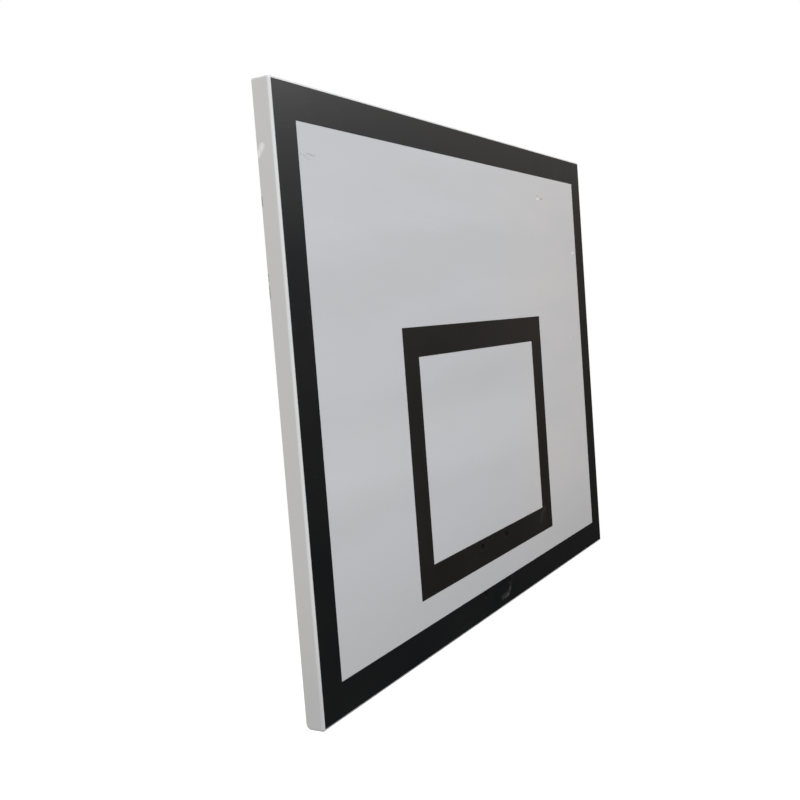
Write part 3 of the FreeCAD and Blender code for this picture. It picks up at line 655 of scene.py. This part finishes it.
settled = use(tree, dust, Place=place, Amount=0.35)
colour = blend(tree, settled, colour, FACE_DUST)
painted = use(tree, hole_paint, Place=place)
colour = blend(tree, painted, colour, HOLE_BLACK)
tree.links.new(colour, shader.inputs["Base Color"])
gloss = ramp(tree, noise(tree, swept, scale=1.4, detail=3.0), 0.3, 0.7, *FACE_GLOSS)
gloss = calc(tree, "ADD", gloss, calc(tree, "MULTIPLY", calc(tree, "ADD", settled, hairs), 0.4))
tree.links.new(calc(tree, "MAXIMUM", gloss, painted), shader.inputs["Roughness"])
add_bump(tree, shader, use(tree, orange_peel, Place=place, Scale=PEEL_SCALE), FACE_PEEL_DEPTH)
print(f"face coat: roughness {FACE_GLOSS[0]} to {FACE_GLOSS[1]}")

# %% [markdown]
# ## Powder coat on the tube frame
# The frame is coated in the same white, but nobody washes it: dust lies on every tube and gusset, grime
# collects in the welds, and spanners have rubbed the edges near the bolts down to the grey primer. Its coat
# is thicker and duller than the pan's, so it has a finish of its own.

# %% Powder coat of the frame
FRAME_COAT = tone(194, 197, 200)
FRAME_CLOUD = tone(183, 185, 186)
GRIME = tone(150, 146, 138)
PRIMER = tone(132, 134, 136)
FRAME_DUST = tone(142, 135, 124)
FRAME_GLOSS = (0.34, 0.46)
FRAME_PEEL_SCALE = 520.0
FRAME_PEEL_DEPTH = 0.00004

frame_coat, tree, shader, place = new_finish("frame_coat", IOR=COAT_IOR)
clouds = ramp(tree, noise(tree, place, scale=14.0, detail=4.0), 0.35, 0.70)
colour = blend(tree, clouds, FRAME_COAT, FRAME_CLOUD)
grime = ramp(tree, noise(tree, place, scale=60.0, detail=5.0, rough=0.65), 0.56, 0.78, 0.0, 0.30)
colour = blend(tree, grime, colour, GRIME)
rubbed = use(tree, worn_edges, Place=place, Radius=0.0012, Amount=0.75)
colour = blend(tree, rubbed, colour, PRIMER)
settled = use(tree, dust, Place=place, Amount=0.60)
colour = blend(tree, settled, colour, FRAME_DUST)
grains = use(tree, specks, Place=place, Scale=70.0, Share=0.03)
colour = blend(tree, grains, colour, DIRT, strength=0.5)
painted = use(tree, hole_paint, Place=place)
colour = blend(tree, painted, colour, HOLE_BLACK)
tree.links.new(colour, shader.inputs["Base Color"])
gloss = ramp(tree, noise(tree, place, scale=40.0, detail=3.0), 0.3, 0.7, *FRAME_GLOSS)
gloss = calc(tree, "ADD", gloss, calc(tree, "MULTIPLY", calc(tree, "ADD", settled, rubbed), 0.3))
tree.links.new(calc(tree, "MAXIMUM", gloss, painted), shader.inputs["Roughness"])
add_bump(tree, shader, use(tree, orange_peel, Place=place, Scale=FRAME_PEEL_SCALE), FRAME_PEEL_DEPTH)
print("frame coat: dust, grime and rubbed edges")

# %% [markdown]
# ## Black lines
# The border and the target rectangle are black film, smoother than the coat below it, so it mirrors the
# room more clearly. It has hairline scratches from balls, a little dust, a pale scuff near the middle of
# the bottom line and a smudge at the target's lower right corner. Balls are thrown at the target, so its
# film is browner and paler than the border. One function makes both.

# %% Black film
FILM_HAIR = tone(74, 72, 70)
FILM_GRAIN = tone(110, 106, 100)
SCUFF = tone(150, 150, 148)
FILM_GLOSS = (0.30, 0.38)
FILM_PEEL_SCALE = 300.0
FILM_PEEL_DEPTH = 0.000012
FILM_SCUFFS = [
    # Middle, direction, half length, half width, strength
    ((0.0570, -0.0602, -0.4130), (-0.445, 0.0, -0.896), 0.0127, 0.0080, 0.06),
    ((0.0470, -0.0602, -0.4255), (-0.900, 0.0, -0.436), 0.0080, 0.0080, 0.10),
    ((0.0300, -0.0602, -0.4297), (1.0, 0.0, 0.0), 0.0140, 0.0070, 0.20),
    ((0.2447, -0.0602, -0.3138), (0.795, 0.0, 0.608), 0.0140, 0.0120, 0.07),
]


def film(name, dark, light):
    """Black film between two shades, with hairlines, grains and the scuffs at their places."""
    material, tree, shader, place = new_finish(name, IOR=COAT_IOR)
    clouds = ramp(tree, noise(tree, place, scale=6.0, detail=4.0), 0.35, 0.70)
    colour = blend(tree, clouds, dark, light)
    hairs = use(tree, scratches, Place=place, Turn=(0.0, -0.6, 0.0), Amount=0.30)
    colour = blend(tree, hairs, colour, FILM_HAIR)
    grains = use(tree, specks, Place=place, Scale=80.0, Share=0.02)
    colour = blend(tree, grains, colour, FILM_GRAIN, strength=0.4)
    patchy = ramp(tree, noise(tree, place, scale=210.0, detail=4.0, rough=0.6), 0.34, 0.64)
    for middle, along, half_length, half_width, strength in FILM_SCUFFS:
        mark = use(tree, stroke, Place=place, Middle=middle, Along=along,
                   Half_Length=half_length, Half_Width=half_width)
        colour = blend(tree, calc(tree, "MULTIPLY", mark, patchy), colour, SCUFF, strength=strength)
    tree.links.new(colour, shader.inputs["Base Color"])
    gloss = ramp(tree, noise(tree, place, scale=7.0, detail=3.0), 0.3, 0.7, *FILM_GLOSS)
    tree.links.new(calc(tree, "ADD", gloss, calc(tree, "MULTIPLY", hairs, 0.3)), shader.inputs["Roughness"])
    add_bump(tree, shader, use(tree, orange_peel, Place=place, Scale=FILM_PEEL_SCALE), FILM_PEEL_DEPTH)
    return material


border_film = film("border_film", tone(15, 14, 14), tone(19, 18, 17))
target_film = film("target_film", tone(26, 22, 18), tone(31, 26, 22))
print(f"black film: {len(FILM_SCUFFS)} scuffs at their places")

# %% [markdown]
# ## Rubber strips
# Rubber strips between the frame and the sheet keep the board from rattling. They are matt black, with the
# talc of their packing still on them. A plain dark grey would look like a shadow, so the talc is a noise
# that also makes the rubber rougher where it lies.

# %% Rubber strip
RUBBER = tone(38, 37, 36)
TALC = tone(96, 94, 90)
RUBBER_DUST = tone(128, 122, 112)
MOST_TALC = 0.5

rubber, tree, shader, place = new_finish("rubber_strip", IOR=COAT_IOR)
talc = ramp(tree, noise(tree, place, scale=120.0, detail=5.0, rough=0.65), 0.48, 0.75, 0.0, MOST_TALC)
colour = blend(tree, talc, RUBBER, TALC)
settled = use(tree, dust, Place=place, Amount=0.7)
tree.links.new(blend(tree, settled, colour, RUBBER_DUST), shader.inputs["Base Color"])
tree.links.new(ramp(tree, talc, 0.0, MOST_TALC, 0.72, 0.92), shader.inputs["Roughness"])
add_bump(tree, shader, noise(tree, place, scale=1500.0, detail=3.0), depth=0.00005)
print("rubber strip: matt with talc")

# %% [markdown]
# ## Galvanised brackets
# The brackets were dipped in a bath of zinc, which sets in flat crystals, each a different grey. A Voronoi
# pattern has just such cells. A noise bends their outlines, each cell takes its own shade and gloss, white
# rust dulls the metal in clouds, and worn edges are bright.

# %% Galvanised brackets
CRYSTAL_SCALE = 120.0
CRYSTAL_BEND = (0.004, 0.004, 0.004)
DARK_CRYSTAL, PALE_CRYSTAL = tone(158, 161, 164), tone(196, 199, 201)
WHITE_RUST = tone(205, 206, 204)
BRIGHT_EDGE = tone(216, 218, 219)
BRACKET_DUST = tone(140, 134, 124)

galvanised, tree, shader, place = new_finish("galvanised_zinc", IOR=COAT_IOR)
bent = vector(tree, "MULTIPLY", noise(tree, place, scale=90.0, detail=2.0), CRYSTAL_BEND)
warped = vector(tree, "ADD", place, bent)
crystals = put(tree, "TexVoronoi", {"Vector": warped, "Scale": CRYSTAL_SCALE})
facet = parts(tree, crystals.outputs["Color"])["X"]
colour = blend(tree, facet, DARK_CRYSTAL, PALE_CRYSTAL)
rust = ramp(tree, noise(tree, place, scale=22.0, detail=5.0, rough=0.6), 0.55, 0.75)
colour = blend(tree, rust, colour, WHITE_RUST, strength=0.6)
rubbed = use(tree, worn_edges, Place=place, Radius=0.0010, Amount=0.8)
colour = blend(tree, rubbed, colour, BRIGHT_EDGE)
settled = use(tree, dust, Place=place, Amount=0.45)
tree.links.new(blend(tree, settled, colour, BRACKET_DUST), shader.inputs["Base Color"])
matt = calc(tree, "MAXIMUM", calc(tree, "MULTIPLY", rust, 0.55), settled)
tree.links.new(calc(tree, "SUBTRACT", 1.0, matt), shader.inputs["Metallic"])
gloss = calc(tree, "ADD", calc(tree, "MULTIPLY", facet, 0.20), 0.30)
tree.links.new(calc(tree, "ADD", gloss, calc(tree, "MULTIPLY", matt, 0.30)), shader.inputs["Roughness"])
steps = calc(tree, "MULTIPLY", crystals.outputs["Distance"], 0.5)
add_bump(tree, shader, calc(tree, "ADD", steps, noise(tree, place, scale=300.0, detail=3.0)), depth=0.00006)
print("galvanised zinc: crystals about", round(1000 / CRYSTAL_SCALE, 1), "mm wide")

# %% [markdown]
# ## Zinc plated fasteners
# The studs, nuts, bolts and washers are zinc plated in a bath with current, which leaves a thinner,
# brighter and smoother layer than dipping, with a slight tint. The tint drifts between blue and yellow, and
# the shine is broken by dull spots where water has stood.

# %% Zinc plated fasteners
BLUE_ZINC, YELLOW_ZINC = tone(196, 200, 206), tone(204, 201, 190)
DULL_ZINC = tone(150, 151, 152)
POLISHED_EDGE = tone(222, 223, 224)

zinc_plate, tree, shader, place = new_finish("zinc_plate", Metallic=1.0)
tint = ramp(tree, noise(tree, place, scale=55.0, detail=3.0), 0.35, 0.65)
colour = blend(tree, tint, BLUE_ZINC, YELLOW_ZINC)
dull = ramp(tree, noise(tree, place, scale=210.0, detail=4.0, rough=0.6), 0.50, 0.74)
colour = blend(tree, dull, colour, DULL_ZINC, strength=0.5)
rubbed = use(tree, worn_edges, Place=place, Radius=0.0005, Amount=0.8)
colour = blend(tree, rubbed, colour, POLISHED_EDGE)
tree.links.new(colour, shader.inputs["Base Color"])
gloss = calc(tree, "ADD", calc(tree, "MULTIPLY", dull, 0.22), 0.24)
tree.links.new(gloss, shader.inputs["Roughness"])
add_bump(tree, shader, noise(tree, place, scale=900.0, detail=3.0), depth=0.00002)
print("zinc plate: bright with dull spots")

# %% [markdown]
# ## Dressing the solids
# The record says which finish each solid takes. The pan is the only piece with the weathered face, every
# other coated piece takes the coat of the frame, and the target has its own film. The meshes stay as they
# are, and only their material slots change.

# %% Finishes on the solids
FINISHES = {
    "white_powder_coat": frame_coat,
    "black_marking": border_film,
    "black_rubber": rubber,
    "galvanised_steel": galvanised,
    "zinc_plated_steel": zinc_plate,
}


def dress(piece, finish):
    if not piece.material_slots:
        piece.data.materials.append(finish)
    for slot in piece.material_slots:
        slot.material = finish


for piece in frame["record"]["subparts"]:
    dress(nodes[piece["node"]], FINISHES[piece["material_slot"]])
dress(nodes["face_pan"], face_coat)
dress(nodes["target_marking"], target_film)
print(f"{len(nodes)} solids dressed in {len(FINISHES) + 2} finishes")

# %% [markdown]
# ## Weld beads
# The tubes are welded where they meet. A bead is a row of overlapping drops, so its crest has ripples that
# bow in the direction of travel, and its ends are round. It could be modelled drop by drop, but one ellipse
# carried along the seam does it: its size follows the ripples, and shrinks to a point at both ends, which
# closes the surface.

# %% Bead surface
BEAD_COLUMNS = 12
BEAD_STEP = 0.00055
FEWEST_ROWS = 12
RIPPLE_PITCH = 0.0022
RIPPLE_BOW = 0.55
# Shares of the bead's size: between ripples, on their crests, and in a slow swell
BEAD_LEAST, RIPPLE_RISE, SWELL = 0.88, 0.16, 0.05
SWELL_LENGTH = 0.0041
DRIFT = 0.0002
DRIFT_LENGTH = 0.0063


def bead(start, end, crown, height, width, seed):
    """A rippled weld bead between two points.

    Along the seam the parameter is the distance s, and around it the angle a. The surface is
    seam(s) + size(s, a) * (height * cos(a) * crown + width * sin(a) * side). The size is a half circle's at
    both ends and 1 between, times a ripple |sin| whose phase runs with s and lags on the crest, so the
    ripples bow. A slow swell in the size and a slow drift to the side keep it from looking turned."""
    start, end, crown = (np.asarray(v, float) for v in (start, end, crown))
    reach = np.linalg.norm(end - start)
    along = (end - start) / reach
    crown = crown - along * (crown @ along)
    crown = crown / np.linalg.norm(crown)
    side = np.cross(along, crown)
    rows = max(int(round(reach / BEAD_STEP)), FEWEST_ROWS)
    s = (np.arange(rows)[:, None] + 0.5) / rows * reach
    a = np.arange(BEAD_COLUMNS)[None, :] / BEAD_COLUMNS * 2 * math.pi
    to_end = np.minimum(np.minimum(s, reach - s) / width, 1)
    size = np.sqrt(1 - (1 - to_end) ** 2)
    ripple = np.abs(np.sin(math.pi * (s / RIPPLE_PITCH + RIPPLE_BOW * np.cos(a) + seed)))
    size = size * (BEAD_LEAST + RIPPLE_RISE * ripple + SWELL * np.sin(s / SWELL_LENGTH + 3 * seed))
    drift = DRIFT * np.sin(s / DRIFT_LENGTH + 5 * seed)
    points = (start + s[..., None] * along + (size * height * np.cos(a))[..., None] * crown
              + (size * width * np.sin(a) + drift)[..., None] * side)
    return np.vstack([points.reshape(-1, 3), [start], [end]]), rows


print(f"beads: ripples {1000 * RIPPLE_PITCH} mm apart")

# %% [markdown]
# **From rings to faces.** Beads and studs are both tubes of rings with a point at each end, so one function
# joins the rings with faces for both. Blender reads the corners of a face in turn to tell its outside from
# its inside, so they are listed against the clock as seen from outside.

# %% Faces of a tube
def tube_faces(rows, columns, first):
    """Quads between neighbouring rings of a closed tube, and fans from the point at each end."""
    here = first + np.arange(rows * columns).reshape(rows, columns)
    beside = np.roll(here, -1, axis=1)
    quads = np.stack([here[:-1], beside[:-1], beside[1:], here[1:]], axis=-1).reshape(-1, 4)
    low, high = first + rows * columns, first + rows * columns + 1
    low_fan = np.stack([np.full(columns, low), beside[0], here[0]], axis=-1)
    high_fan = np.stack([np.full(columns, high), here[-1], beside[-1]], axis=-1)
    return quads.tolist() + low_fan.tolist() + high_fan.tolist()


print(f"a ring of a bead has {BEAD_COLUMNS} faces to the next")

# %% [markdown]
# **From faces to pieces.** A piece is a mesh with its finish, tied to the body that it moves with. All the
# beads of one kind of joint become one piece: they are coated together with the frame, and a few large
# pieces are easier to handle than a hundred small ones. Each bead gets its own seed, so that no two have
# their ripples in the same places.

# %% Pieces
SEED_STEP = 0.37


def new_piece(name, points, faces, finish):
    """A finished piece in the board's frame, smooth, riding on the board."""
    mesh = bpy.data.meshes.new(name)
    mesh.from_pydata(points.tolist(), [], faces)
    mesh.validate()
    mesh.shade_smooth()
    mesh.materials.append(finish)
    piece = bpy.data.objects.new(name, mesh)
    bpy.context.scene.collection.objects.link(piece)
    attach(piece, "root")
    return piece


def weld(name, seams, height, width):
    """All the beads of one kind of joint. A seam is its start, its end and its outward direction."""
    points, faces, first = [], [], 0
    for number, (start, end, crown) in enumerate(seams):
        spots, rows = bead(start, end, crown, height, width, SEED_STEP * number)
        points.append(spots)
        faces += tube_faces(rows, BEAD_COLUMNS, first)
        first += len(spots)
    new_piece(name, np.vstack(points), faces, frame_coat)
    print(f"{name}: {len(seams)} beads, {len(faces)} faces")


def corners(node):
    """The low and the high corner of a solid's box."""
    return (np.array(corner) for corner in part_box(node))


print("each kind of joint becomes one piece")

# %% [markdown]
# **Butt joints.** The seams follow from the boxes of the tubes, so they move with the model. Each butt
# joint has a bead across the back, where the rounded edge of the other tube leaves a groove, and one on
# each side.

# %% Seams of the butt joints
TUBE_CORNER = 0.003
SEAM_SHIFT = 0.0006
BACK_SINK = 0.0010
BACK_INSET = 0.0008
# Height and half width of each kind of bead
BACK_BEAD = (0.0021, 0.0030)
SIDE_BEAD = (0.0024, 0.0026)
BUTT_JOINTS = [
    # Tube that ends on another at both ends, and the axis it runs along
    ("left_upright", 2), ("right_upright", 2), ("middle_crossbar", 0), ("ring_crossbar", 0),
    ("left_brace", 0), ("right_brace", 0), ("left_ring_strut", 2), ("right_ring_strut", 2),
]
back_seams, side_seams = [], []
for tube, axis in BUTT_JOINTS:
    low, high = corners(tube)
    cross = 2 - axis
    for end in (-1, 1):
        seam = low[axis] if end < 0 else high[axis]
        start, stop = np.zeros(3), np.zeros(3)
        start[axis] = stop[axis] = seam + end * SEAM_SHIFT
        start[1] = stop[1] = high[1] - BACK_SINK
        start[cross], stop[cross] = low[cross] + BACK_INSET, high[cross] - BACK_INSET
        back_seams.append((start, stop, (0, 1, 0)))
        for side in (-1, 1):
            start, stop, crown = np.zeros(3), np.zeros(3), np.zeros(3)
            start[axis] = stop[axis] = seam - end * SEAM_SHIFT
            start[cross] = stop[cross] = (low[cross] if side < 0 else high[cross]) + side * SEAM_SHIFT
            start[1], stop[1] = low[1] + TUBE_CORNER, high[1] - TUBE_CORNER
            crown[cross], crown[axis] = side, -end
            side_seams.append((start, stop, crown))
weld("back_welds", back_seams, *BACK_BEAD)
weld("side_welds", side_seams, *SIDE_BEAD)

# %% [markdown]
# **Mitred corners.** The four outer tubes are cut at 45 degrees. Each corner has a flat bead along the
# mitre and one upright in the inner corner. One corner is worked out, and turning its signs gives the other
# three.

# %% Seams of the mitred corners
MITRE_SINK = 0.0007
MITRE_START, MITRE_END = 0.06, 0.93
MITRE_BEAD = (0.0017, 0.0032)

mitre_seams, corner_seams = [], []
stile_low, stile_high = corners("right_stile")
rail_low, rail_high = corners("top_rail")
inner = np.array([stile_low[0], 0, rail_low[2]])
outer = np.array([stile_high[0], 0, rail_high[2]])
back = np.array([0, rail_high[1] - MITRE_SINK, 0])
foot = np.array([0, rail_low[1] + TUBE_CORNER, 0])
head = np.array([0, rail_high[1] - TUBE_CORNER, 0])
for left in (-1, 1):
    for down in (-1, 1):
        turn = np.array([left, 1, down])
        start = turn * (inner + MITRE_START * (outer - inner)) + back
        stop = turn * (inner + MITRE_END * (outer - inner)) + back
        mitre_seams.append((start, stop, (0, 1, 0)))
        nook = turn * (inner - np.array([SEAM_SHIFT, 0, SEAM_SHIFT]))
        corner_seams.append((nook + foot, nook + head, (-left, 0, -down)))
weld("mitre_welds", mitre_seams, *MITRE_BEAD)
weld("inner_corner_welds", corner_seams, *SIDE_BEAD)

# %% [markdown]
# **Gussets.** A gusset keeps each corner of the frame square. It is welded to both tubes with one stitch
# each, on its back, where a torch can reach. The stitch stops short of the ends, as a welder leaves it.

# %% Seams of the gussets
STITCH_LIFT = 0.0004
STITCH_INSET = 0.0005
GUSSET_STITCH = (0.011, 0.052)

gusset_seams = []
for left in (-1, 1):
    for down in (-1, 1):
        height, hand = "lower" if down < 0 else "upper", "left" if left < 0 else "right"
        low, high = corners(f"{height}_{hand}_gusset")
        sign = (left, 0, down)
        for axis, cross in ((0, 2), (2, 0)):
            wall = (high[cross] if sign[cross] > 0 else low[cross]) - sign[cross] * STITCH_INSET
            far = high[axis] if sign[axis] > 0 else low[axis]
            start, stop, crown = np.zeros(3), np.zeros(3), np.zeros(3)
            start[1] = stop[1] = high[1] + STITCH_LIFT
            start[cross] = stop[cross] = wall
            start[axis], stop[axis] = (far - sign[axis] * reach for reach in GUSSET_STITCH)
            crown[1], crown[cross] = 1, -sign[cross]
            gusset_seams.append((start, stop, crown))
weld("gusset_welds", gusset_seams, *SIDE_BEAD)

# %% [markdown]
# **Ring plate.** The plate behind the ring's bolts is welded to the tubes round it with short stitches, so
# that the heat doesn't pull the thin sheet out of flat: three on each upright side, and two above and
# below.

# %% Seams of the ring plate
UPRIGHT_SHARES = (0.17, 0.50, 0.83)
UPRIGHT_HALF_STITCH = 0.013
LEVEL_SHARES = (0.25, 0.75)
LEVEL_HALF_STITCH = 0.016
PLATE_BEAD = (0.0027, 0.0030)

plate_seams = []
low, high = corners("ring_backing_plate")
face = high[1] + STITCH_LIFT
for share in UPRIGHT_SHARES:
    middle = low[2] + share * (high[2] - low[2])
    for side, wall in ((1, low[0]), (-1, high[0])):
        line = wall + side * STITCH_INSET
        ends = [(line, face, middle - UPRIGHT_HALF_STITCH), (line, face, middle + UPRIGHT_HALF_STITCH)]
        plate_seams.append((*ends, (side, 1, 0)))
for share in LEVEL_SHARES:
    middle = low[0] + share * (high[0] - low[0])
    for side, wall in ((1, low[2]), (-1, high[2])):
        line = wall + side * STITCH_INSET
        ends = [(middle - LEVEL_HALF_STITCH, face, line), (middle + LEVEL_HALF_STITCH, face, line)]
        plate_seams.append((*ends, (0, 1, side)))
weld("ring_plate_welds", plate_seams, *PLATE_BEAD)

# %% [markdown]
# ## Threaded studs
# The studs that hold the frame to the sheet are solids without a thread. Their ends stick out of the lock
# nuts, so they get a real one. A thread could be a modelled helix swept with a profile. It is easier as a
# single surface: the radius falls and rises with the distance along the stud, and the phase moves on by one
# pitch for each turn.

# %% Stud surface
STUD_RADIUS = 0.0030
STUD_COLUMNS = 24
THREAD_PITCH = 0.0010
THREAD_DEPTH = 0.00055
THREAD_LENGTH = 0.0062
THREAD_ROWS = 58
GROOVE_SLOPE, CREST_FLAT = 1.25, 0.12
TIP_CONE = 0.0010
TIP_FLAT = 0.85
# The flash of the weld at the foot: heights over the sheet, and radii
FLASH_HEIGHTS = np.array([0.0, 0.0002, 0.0008, 0.0010, 0.0012])
FLASH_RADII = np.array([0.0037, 0.0040, 0.0040, 0.0036, 0.0030])


def stud_surface(foot, tip):
    """A welded stud along +Y from the sheet, as distances from its axis.

    With the distance y along it and the angle a around it, the radius is the stud's own, less the thread's
    depth times a triangle wave of y / pitch - a / turn. At the tip it is also under a cone, with one more ring
    that keeps the end flat, and at the foot there is a wider disc, the flash of the weld."""
    thread_start = tip - THREAD_LENGTH
    y = np.concatenate([foot + FLASH_HEIGHTS, [thread_start - THREAD_PITCH],
                        np.linspace(thread_start, tip, THREAD_ROWS), [tip]])[:, None]
    a = np.arange(STUD_COLUMNS)[None, :] / STUD_COLUMNS * 2 * math.pi
    wave = np.abs(2 * ((y / THREAD_PITCH - a / (2 * math.pi)) % 1) - 1)
    groove = np.clip(GROOVE_SLOPE * wave - CREST_FLAT, 0, 1)
    run_out = np.clip((y - thread_start) / THREAD_PITCH, 0, 1)
    radius = STUD_RADIUS - THREAD_DEPTH * groove * run_out
    radius = np.minimum(radius, STUD_RADIUS - TIP_CONE + (tip - y))
    radius[:len(FLASH_RADII)] = FLASH_RADII[:, None]
    radius[-1] = TIP_FLAT * radius[-2]
    points = np.stack([radius * np.cos(a), np.broadcast_to(y, radius.shape), -radius * np.sin(a)], axis=-1)
    ends = np.array([[0, foot, 0], [0, tip, 0]])
    return np.vstack([points.reshape(-1, 3), ends]), len(y)


print(f"threads with a pitch of {1000 * THREAD_PITCH} mm on {2000 * STUD_RADIUS:.0f} mm studs")

# %% [markdown]
# **Where the studs stand.** The places could be typed in, but then they would be wrong after a change to
# the model. They are read from the solids instead: the points at the tips of the studs that lie within one
# stud of each other belong together, and their middle is the axis.

# %% Studs in place
ON_TIP = 1e-5


def stud_axes():
    """Where the studs stand: the middle of the points at each tip, with the foot and the tip along Y."""
    spots = np.empty(len(nodes["weld_studs"].data.vertices) * 3)
    nodes["weld_studs"].data.vertices.foreach_get("co", spots)
    spots = spots.reshape(-1, 3)
    foot, tip = spots[:, 1].min(), spots[:, 1].max()
    ends = np.unique(np.round(spots[spots[:, 1] > tip - ON_TIP][:, [0, 2]], 6), axis=0)
    together = np.linalg.norm(ends[:, None] - ends[None], axis=-1) < 2 * STUD_RADIUS
    middles = together.astype(float) @ ends / together.sum(axis=1, keepdims=True)
    return np.unique(np.round(middles, 5), axis=0), foot, tip


axes, foot, tip = stud_axes()
stud, rows = stud_surface(foot, tip)
stands = np.stack([axes[:, 0], np.zeros(len(axes)), axes[:, 1]], axis=-1)
points = (stands[:, None, :] + stud[None, :, :]).reshape(-1, 3)
faces = []
for number in range(len(axes)):
    faces += tube_faces(rows, STUD_COLUMNS, number * len(stud))
studs = new_piece("threaded_weld_studs", points, faces, zinc_plate)
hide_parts("weld_studs")
print(f"{len(axes)} studs, {1000 * (tip - foot):.1f} mm long, {len(faces)} faces")
